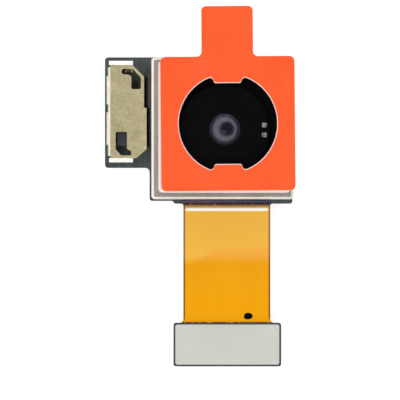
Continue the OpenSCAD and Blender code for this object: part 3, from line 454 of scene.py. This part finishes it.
MARK_X, MARK_Y, MARK_HALF, MARK_LIFT = 3.21, (0.33, -0.46), 0.19, 0.006
MARK_SQUARE, MARK_RAGGED, MARK_SEED = 8, 0.03, 0.4
RINGS, TURNS = 7, 40


def pad(name, pads, lift, square, ragged, seed, height_at):
    """A thin closed pad for each (x, y, half width, half depth): rings of points, each at a share q of
    the way out, on an outline between a circle and a square that sines make ragged. Its top is the height
    below it plus lift times the root of 1 - q^4, and its back is a fan lift below that height."""
    share = np.linspace(0, 1, RINGS + 1)[1:, None]
    angle = np.arange(TURNS)[None, :] * (2 * np.pi / TURNS)
    corner = (np.abs(np.cos(angle)) ** square + np.abs(np.sin(angle)) ** square) ** (-1 / square)
    points, faces = [], []
    for k, (x, y, half_x, half_y) in enumerate(pads):
        phase = seed + 1.7 * k
        wave = 1 + ragged * (np.sin(2 * angle + phase) + 0.7 * np.sin(3 * angle + 2.1 * phase)
                             + 0.4 * np.sin(7 * angle + 3.3 * phase))
        ring_x = x + share * corner * wave * np.cos(angle) * half_x
        ring_y = y + share * corner * wave * np.sin(angle) * half_y
        base = height_at(ring_y)
        ring_z = base + lift * np.sqrt(np.maximum(1 - share ** 4, 0)) + 0 * angle
        shell = np.stack([ring_x, ring_y, ring_z], axis=-1).reshape(-1, 3)
        foot = np.stack([ring_x[-1], ring_y[-1], base[-1] - lift], axis=-1)
        tips = np.array([[x, y, height_at(y) + lift], [x, y, height_at(y) - lift]])
        first = sum(len(p) for p in points)
        ids = first + np.arange((RINGS + 1) * TURNS).reshape(RINGS + 1, TURNS)
        after = np.roll(ids, -1, axis=1)
        quads = np.stack([ids[:-1], ids[1:], after[1:], after[:-1]], axis=-1).reshape(-1, 4)
        top, bottom = first + ids.size, first + ids.size + 1
        fan = np.stack([np.full(TURNS, top), ids[0], after[0]], axis=-1)
        back = np.stack([np.full(TURNS, bottom), after[-1], ids[-1]], axis=-1)
        points.append(np.concatenate([shell, foot, tips]))
        faces += quads.tolist() + fan.tolist() + back.tolist()
    mesh = bpy.data.meshes.new(name)
    mesh.from_pydata((np.concatenate(points) / MM).tolist(), [], faces)
    mesh.polygons.foreach_set("use_smooth", [True] * len(faces))
    piece = bpy.data.objects.new(name, mesh)
    bpy.context.scene.collection.objects.link(piece)
    return piece


flange_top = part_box("lens_barrel")[1].z * MM
marks = pad("flange_marks", [(MARK_X, y, MARK_HALF, MARK_HALF) for y in MARK_Y], MARK_LIFT, MARK_SQUARE,
            MARK_RAGGED, MARK_SEED, lambda y: flange_top + 0 * y)
bleached, surface, place = start("flange_marks")
speckle = place.noise(9.0, 2, 0.6)
lay(surface, Base_Color=speckle.step(0.38, 0.6).blend(paint(84, 84, 88), paint(168, 168, 166)), Roughness=0.7,
    Normal=speckle.bump(2.0), Specular_IOR_Level=0.2)
marks.data.materials.append(bleached)
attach(marks, "lens")

# ---------------------------------------------------------------- shield can
# One cup drawn from stainless sheet, with its opening pierced in the top. The draw leaves the walls a
# little smoother than the flat, and the walls are painted greyer as painted shade. The flat's skin keeps
# the lay of the mill and is painted bright along its left edge as a highlight. Handling has left a few light
# scuffs.

LEFT_EDGE_HIGHLIGHT = (-5.5, -5.2)
can, surface, place = start("can_steel")
lay_lines = place.stretched(14.0, 0.5, 14.0).noise(1.0, 4, 0.6)
skin = place.noise(0.5, 3)
fine = place.noise(14.0, 3, 0.6)
scuffs = place.stretched(1.0, 0.3, 1.0).noise(3.0, 3, 0.7).between(0.6, 0.64, 0.02)
flat = abs(place.facing()[2]).step(0.7, 0.98)
mixed = lay_lines * 0.5 + skin * 0.35 + fine * 0.15
colour = mixed.step(0.32, 0.68).blend(paint(216, 206, 194), paint(236, 227, 216))
# Painted highlight: the flat turns lighter towards its left edge.
colour = place.axes()[0].step(*LEFT_EDGE_HIGHLIGHT, 0.7, 0.0).blend(colour, paint(250, 238, 226))
# Painted shade: the walls take a greyer copy of the steel's colour than the flat.
colour = flat.blend(mixed.step(0.3, 0.7).blend(paint(180, 180, 176), paint(198, 197, 193)), colour)
lay(surface, Base_Color=(scuffs * 0.12).blend(colour, paint(248, 246, 240)), Metallic=1.0,
    Roughness=0.34 + flat * 0.05 + (mixed - 0.5) * 0.2,
    Normal=(lay_lines + fine * 0.5 + scuffs * 0.15).bump(0.7))
give(can, "shield_can")

# ---------------------------------------------------------------- adhesive gasket
# Foamed white acrylic tape under the release film. Its cut edge is a little open, and it is painted
# faintly pink as the tint of light from the orange film over it.

foam, surface, place = start("white_adhesive")
open_cells = place.cells(13.0).step(0.1, 0.5)
# Painted light: both shades of the foam are tinted pink for the light from the orange film.
lay(surface, Base_Color=open_cells.blend(paint(236, 218, 210), paint(252, 242, 238)), Roughness=0.6,
    Normal=open_cells.bump(5.0))
give(foam, "adhesive_gasket")

# ---------------------------------------------------------------- release film
# A bright orange polyester film that keeps the tape clean and is pulled off by its tab. It is cut with a
# toothed opening. Its skin waves a little, and more on the tab, where no tape holds it.

TAB_ROOT = (5.4, 7.0)
film, surface, place = start("orange_film")
x, y, z = place.axes()
waves = place.stretched(1.0, 0.7, 1.0).noise(0.35, 2)
draw_lines = place.stretched(6.0, 0.25, 1.0).noise(1.0, 3, 0.6)
dust = place.cells(2.6).step(0.02, 0.05, 1.0, 0.0) * place.noise(1.1, 2).step(0.5, 0.6)
tab = y.step(*TAB_ROOT)
tone = waves * 0.85 + draw_lines * 0.15
colour = tone.step(0.3, 0.7).blend(paint(251, 91, 39), paint(254, 96, 45))
lay(surface, Base_Color=(dust * 0.35).blend(colour, paint(255, 170, 140)),
    Roughness=0.42 + draw_lines * 0.1, Normal=(waves * (1.0 + tab * 1.5) + draw_lines * 0.06).bump(14.0),
    Specular_IOR_Level=0.35)
give(film, "release_film")

# ---------------------------------------------------------------- driver shield
# A lid pressed from nickel silver over the driver chips, its walls folded down and their feet soldered
# to the board. Its face is matt from the blasted press tool, with a fine sandy lustre. Its walls are
# painted nearly white as a highlight, and the folded edges are rubbed smoother.

FOLD = (1.36, 1.45)
lid, surface, place = start("gold_shield")
x, y, z = place.axes()
blast = place.noise(8.0, 4, 0.7)
patches = place.noise(1.1, 3, 0.6)
sparks = place.cells(6.0).step(0.06, 0.16, 1.0, 0.0)
upright = abs(place.facing()[2]).step(0.5, 0.9, 1.0, 0.0)
rubbed = z.step(*FOLD) * upright
sand = (blast * 0.6 + patches * 0.4).step(0.34, 0.66)
colour = sand.blend(paint(216, 203, 158), paint(247, 236, 194))
colour = (sparks * 0.5).blend(colour, paint(246, 238, 212))
# Painted highlight: the walls are painted nearly white.
lay(surface, Base_Color=(upright * 0.7).blend(colour, paint(246, 244, 232)), Metallic=1.0,
    Roughness=0.52 + (blast - 0.5) * 0.3 - rubbed * 0.2, Normal=(blast + sparks * 0.5).bump(2.2))
give(lid, "driver_shield")

# ---------------------------------------------------------------- solder
# Tin solder that has wetted the shield's feet and frozen in a smooth skin, with faint grey frost where
# the grains met.

tin, surface, place = start("solder")
frost = place.cells(5.0, "SMOOTH_F1")
skin = place.noise(2.5, 3)
frozen = (frost * 0.5 + skin * 0.5).step(0.2, 0.7)
lay(surface, Base_Color=frozen.blend(paint(250, 249, 244), paint(226, 225, 219)), Metallic=0.55,
    Roughness=0.34 + frost * 0.16, Normal=(skin + frost * 0.4).bump(9.0))
give(tin, "shield_solder")

# ---------------------------------------------------------------- driver, memory and gyro chips
# The driver is a bare silicon die with a blue-grey back that the dicing saw and the grinder have marked
# with fine arcs. The memory is the same, smaller, and the gyro is in a black moulded package.

GRINDER, ARCS_TO_MM = (-22.0, 9.0, 0.0), 22.0


def bare_die(name, light, dark):
    """A ground silicon back: fine arcs round a far point, and cloudy patches from the etch."""
    made, surface, place = start(name)
    arcs = (place.moved(*GRINDER).away() * ARCS_TO_MM).ridges(1.0) * 2.0
    etch = place.noise(1.8, 3)
    lay(surface, Base_Color=(etch * 0.7 + arcs * 0.3).step(0.25, 0.7).blend(dark, light),
        Roughness=0.3 + arcs * 0.1, Normal=(arcs + etch).bump(0.25), Specular_IOR_Level=0.6)
    return made


give(bare_die("driver_die", paint(66, 68, 80), paint(50, 52, 62)), "driver_chip")
give(bare_die("memory_die", paint(86, 84, 92), paint(72, 70, 78)), "memory_chip")
give(package, "gyro_chip")

# ---------------------------------------------------------------- terminal sealant and the tail's bead
# Black epoxy run along the can's foot over its terminals, and a thin bead of violet underfill where the
# tail leaves the can. Both have levelled out glossy and set with soft waves along their length.

BEAD_ENDS = (-2.8, 2.9)

def cured(name, colours, soft, gloss):
    """Set epoxy: slow waves along it from levelling, and a fine skin of haze over its colour."""
    made, surface, place = start(name)
    waves = place.noise(soft, 2)
    haze = place.noise(7.0, 3, 0.6)
    lay(surface, Base_Color=colours(place, waves), Roughness=gloss + haze * 0.12,
        Normal=(waves + haze * 0.05).bump(22.0), Coat_Weight=0.4, Coat_Roughness=0.1)
    return made


def black(place, waves):
    """Black that the waves make a little violet."""
    return waves.step(0.35, 0.65).blend(paint(12, 10, 14), paint(30, 24, 34))


def violet(place, waves):
    """Lavender at the bead's left end, turning to blue violet at its right."""
    left = waves.blend(paint(96, 82, 112), paint(122, 108, 134))
    right = waves.blend(paint(70, 62, 102), paint(92, 88, 128))
    return place.axes()[0].step(*BEAD_ENDS).blend(left, right)


give(cured("black_sealant", black, 1.2, 0.34), "terminal_seal")
give(cured("violet_bead", violet, 0.9, 0.2), "tail_seal")

# ---------------------------------------------------------------- flexible tail
# Two layers of copper tracks between skins of amber polyimide, punched to shape, so that the adhesive
# and a little scorched skin show as a brown edge. A white band across its root, on the fold, is a painted
# highlight, its upper part is painted paler as a sheen, and the steep side by the root is painted lighter
# against its shade. The tracks run along it and show as faint darker bands under the skin.

TAIL_MIDDLE, TAIL_HALF = 0.18, 3.53
EDGE_SIDE, EDGE_RUN = (TAIL_HALF - 0.15, TAIL_HALF - 0.07), (-15.45, -6.2)
SEAM_FRONT, SEAM_BACK, ROOT_LIGHTENED = (-15.74, -15.6), (-6.1, -6.0), (-6.42, -6.3)
TRACK_PITCH, TRACK_EDGE, TRACKS_END = 0.42, (0.12, 0.15), (2.9, 3.1)
SHEEN_SHIFT_X, SHEEN_FROM = (-3.4, 0.2), (-10.0, -9.3)
HIGHLIGHT_BAND, HIGHLIGHT_HALF = (-6.62, -6.39), 3.33
tail, surface, place = start("polyimide")
x, y, z = place.axes()
off = abs(x - TAIL_MIDDLE)
beside = place.noise(3.0, 3, 0.6)
punched = (off + beside * 0.05).step(*EDGE_SIDE) * y.between(*EDGE_RUN, 0.15)
ragged = y + beside * 0.06
seam = ragged.between(*SEAM_FRONT, 0.03).most(ragged.between(*SEAM_BACK, 0.02))
punched = punched.most(seam * place.noise(5.0, 2).step(0.3, 0.5))
band = x.ridges(TRACK_PITCH).step(*TRACK_EDGE) * off.step(*TRACKS_END, 1.0, 0.0)
copper = band * 0.012
root = y.step(*ROOT_LIGHTENED)
# Painted sheen: past a slanting line, the upper part of the tail is painted paler.
pale = (y - x.step(*SHEEN_SHIFT_X, -1.2, 0.0)).step(*SHEEN_FROM) * 0.9
slow = place.stretched(1.0, 0.5, 1.0).noise(0.6, 2)
fibres = place.stretched(9.0, 0.6, 1.0).noise(1.0, 3, 0.6)
amber = (slow * 0.8 + fibres * 0.2).step(0.3, 0.7).blend(paint(252, 169, 0), paint(255, 175, 0))
amber = copper.blend(amber, paint(206, 120, 10))
amber = pale.blend(amber, paint(255, 190, 34))
# Painted light: the steep side next to the root is painted lighter against the shade it lies in.
amber = (root * 0.8).blend(amber, paint(255, 204, 128))
amber = (punched * 0.9).blend(amber, beside.blend(paint(84, 36, 20), paint(140, 72, 34)))
# Painted highlight: a white band across the fold by the root, on the faces that look up.
highlight_band = y.between(*HIGHLIGHT_BAND, 0.02) * (off + beside * 0.06).step(HIGHLIGHT_HALF - 0.04, HIGHLIGHT_HALF + 0.02, 1, 0)
highlight_band = highlight_band * abs(place.facing()[2]).step(0.3, 0.5)
band_mottle = place.noise(16.0, 3, 0.65).step(0.2, 0.34)
highlight_band = highlight_band * (band_mottle * 0.15 + 0.85)
lay(surface, Base_Color=highlight_band.blend(amber, paint(255, 250, 242)),
    Roughness=0.17 + highlight_band * 0.4 + (fibres - 0.5) * 0.03, Specular_IOR_Level=0.8,
    Normal=(band * 0.02 + slow * 2.0 + highlight_band * 0.6 + fibres * 0.01).bump(5.0))
give(tail, "flex_tail")

# ---------------------------------------------------------------- inspection dot
# A dot of black marker that an inspector's pen leaves beside the connector. It has soaked out unevenly
# and dried in a thin film, which follows the tail's upper skin.

DOT = (1.92, -15.17, 0.345, 0.28)
DOT_LIFT, DOT_SQUARE, DOT_RAGGED, DOT_SEED = 0.008, 2.2, 0.05, 1.1
FACES_UP, TAIL_END = 0.7, -15.7
tail_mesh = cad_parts["flex_tail"].data
corners, normals = np.empty(len(tail_mesh.vertices) * 3), np.empty(len(tail_mesh.vertices) * 3)
tail_mesh.vertices.foreach_get("co", corners)
tail_mesh.vertices.foreach_get("normal", normals)
corners = corners.reshape(-1, 3) * MM
upper = corners[(normals.reshape(-1, 3)[:, 2] > FACES_UP) & (corners[:, 1] > TAIL_END)]
stations, group = np.unique(np.round(upper[:, 1], 3), return_inverse=True)
heights = np.full(len(stations), -1.0)
np.maximum.at(heights, group, upper[:, 2])
dot = pad("inspection_dot", [DOT], DOT_LIFT, DOT_SQUARE, DOT_RAGGED, DOT_SEED,
          lambda y: np.interp(y, stations, heights))
marker, surface, place = start("inspection_dot")
dried = place.noise(6.0, 3, 0.6)
lay(surface, Base_Color=dried.blend(paint(3, 3, 3), paint(14, 10, 8)), Roughness=0.6 + dried * 0.2,
    Normal=dried.bump(3.0), Specular_IOR_Level=0.06)
dot.data.materials.append(marker)
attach(dot, "root")

# ---------------------------------------------------------------- connector board and its plate
# The tail's end is stiffened by a scrap of the same board, and a plate of nickel-plated steel is glued
# over it to spread a fingertip's push. The plate is bead-blasted and matt, with faint smudges.

give(board_finish, "plug_board")
plate, surface, place = start("plug_steel")
beads = place.noise(18.0, 3, 0.6)
cast_tone = place.stretched(0.6, 1.0, 1.0).noise(0.35, 2)
smudge = place.stretched(1.0, 0.6, 1.0).noise(0.9, 3, 0.6)
mixed = cast_tone * 0.5 + smudge * 0.3 + beads * 0.2
lay(surface, Base_Color=mixed.step(0.3, 0.7).blend(paint(216, 215, 208), paint(224, 224, 217)), Metallic=0.5,
    Roughness=0.62 + (beads - 0.5) * 0.2, Normal=beads.bump(0.9))
give(plate, "plug_plate")

# ---------------------------------------------------------------- board connector
# A black moulded housing with two rows of gold-plated phosphor-bronze contacts at 0.3 mm, and a gold
# fitting soldered at each end to hold it down. The gold is worn paler where a socket has wiped it.

give(moulded("plug_moulding", paint(40, 40, 43), paint(28, 28, 30), 0.5), "plug_housing")
gilt, surface, place = start("gold")
wiped = place.stretched(2.0, 9.0, 9.0).noise(1.0, 3, 0.6)
lay(surface, Base_Color=wiped.step(0.3, 0.7).blend(paint(226, 184, 98), paint(246, 216, 142)), Metallic=1.0,
    Roughness=0.22 + wiped * 0.16, Normal=wiped.bump(0.8))
give(gilt, "plug_contacts", "plug_fittings")

# ---------------------------------------------------------------- floor
# A plain pale table with a little light of its own. From below it is clear, like a light table, so that
# the underside shows.

FLOOR_HALF, FLOOR_BELOW = 1.0, 2e-5
FLOOR_PAINT, FLOOR_GLOW, FLOOR_SEEN = (0.5, 0.5, 0.5, 1.0), (0.2, 0.2, 0.2, 1.0), (0.72, 0.72, 0.72, 1.0)
floor_mesh = bpy.data.meshes.new("floor")
floor_mesh.from_pydata([(x * FLOOR_HALF, y * FLOOR_HALF, 0) for x, y in ((-1, -1), (1, -1), (1, 1), (-1, 1))],
                       [], [(0, 1, 2, 3)])
floor = bpy.data.objects.new("floor", floor_mesh)
floor.location = (0, 0, -FLOOR_BELOW)
bpy.context.scene.collection.objects.link(floor)
floor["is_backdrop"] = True
pale, surface, place = start("floor")
lay(surface, Base_Color=FLOOR_PAINT, Roughness=0.9, Specular_IOR_Level=0.0)
rays = place.node("LightPath", {}, {}).socket.node
seen = Wire(rays.outputs["Is Camera Ray"]).most(Wire(rays.outputs["Is Glossy Ray"])).most(
    Wire(rays.outputs["Is Transmission Ray"]))
lay(surface, Emission_Color=seen.blend(FLOOR_GLOW, FLOOR_SEEN), Emission_Strength=1.0)
clear = pale.node_tree.nodes.new("ShaderNodeBsdfTransparent")
behind = Wire(pale.node_tree.nodes.new("ShaderNodeNewGeometry").outputs["Backfacing"])
sides = behind.node("MixShader", {}, {
    0: behind, 1: Wire(surface.outputs["BSDF"]), 2: Wire(clear.outputs["BSDF"])})
output = next(n for n in pale.node_tree.nodes if n.type == "OUTPUT_MATERIAL")
pale.node_tree.links.new(sides.socket, output.inputs["Surface"])
floor.data.materials.append(pale)

# ---------------------------------------------------------------- studio light
# A round white tent. Its top is dark above the table, so that flat metal looks grey and turned edges
# bright, and one soft box hangs in it, a little towards the connector's end, for the tail's sheen.

TENT_LIGHT, TOP_LIGHT = 1.56, 0.08
TOP_LEAN = (0.14, 0.0, 1.0)
TOP_INNER, TOP_OUTER = 30, 44
BOX_LIGHT, BOX_FROM, BOX_TO, BOX_HALF, BOX_SOFT = 1.1, 0.12, 0.28, 0.12, 0.03

world = bpy.data.worlds.new("studio")
bpy.context.scene.world = world
world.use_nodes = True
sky = next(n for n in world.node_tree.nodes if n.type == "BACKGROUND")
way = Wire(world.node_tree.nodes.new("ShaderNodeTexCoord").outputs["Generated"])
x, y, z = way.axes()
lean = way.node("VectorMath", {"operation": "DOT_PRODUCT"},
                {0: way, 1: tuple(Vector(TOP_LEAN).normalized())}, 1)
inner, outer = math.cos(math.radians(TOP_INNER)), math.cos(math.radians(TOP_OUTER))
light = lean.step(outer, inner, TENT_LIGHT, TOP_LIGHT)
up = z.most(0.01)
box = (y / up).between(-BOX_TO, -BOX_FROM, BOX_SOFT) * (x / up).between(-BOX_HALF, BOX_HALF, BOX_SOFT)
light = light + box * z.step(0.0, 0.1) * BOX_LIGHT
seen = Wire(way.node("LightPath", {}, {}).socket.node.outputs["Is Camera Ray"])
strength = seen.node("Mix", {"data_type": "FLOAT"}, {"Factor": seen, "A": light, "B": 1.0})
world.node_tree.links.new(strength.socket, sky.inputs["Strength"])
sky.inputs["Color"].default_value = (1, 1, 1, 1)

# ---------------------------------------------------------------- camera
# Straight above, so far away that the module's height hardly shifts its top. It frames a square about
# the module, measured at the level of the can's top.

FRAME_WIDTH, FRAME_MIDDLE = 0.03239, (-0.002, -0.00573)
CAMERA_UP, LEVEL, FILM_WIDTH = 1.005, 0.005, 36
camera_data = bpy.data.cameras.new("camera")
camera_data.sensor_width = FILM_WIDTH
camera_data.lens = FILM_WIDTH * (CAMERA_UP - LEVEL) / FRAME_WIDTH
camera_data.clip_start, camera_data.clip_end = 0.1, 10.0
camera = bpy.data.objects.new("camera", camera_data)
camera.location = (*FRAME_MIDDLE, CAMERA_UP)
bpy.context.scene.collection.objects.link(camera)
bpy.context.scene.camera = camera
bpy.context.scene.view_settings.view_transform = "Standard"

low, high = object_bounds()
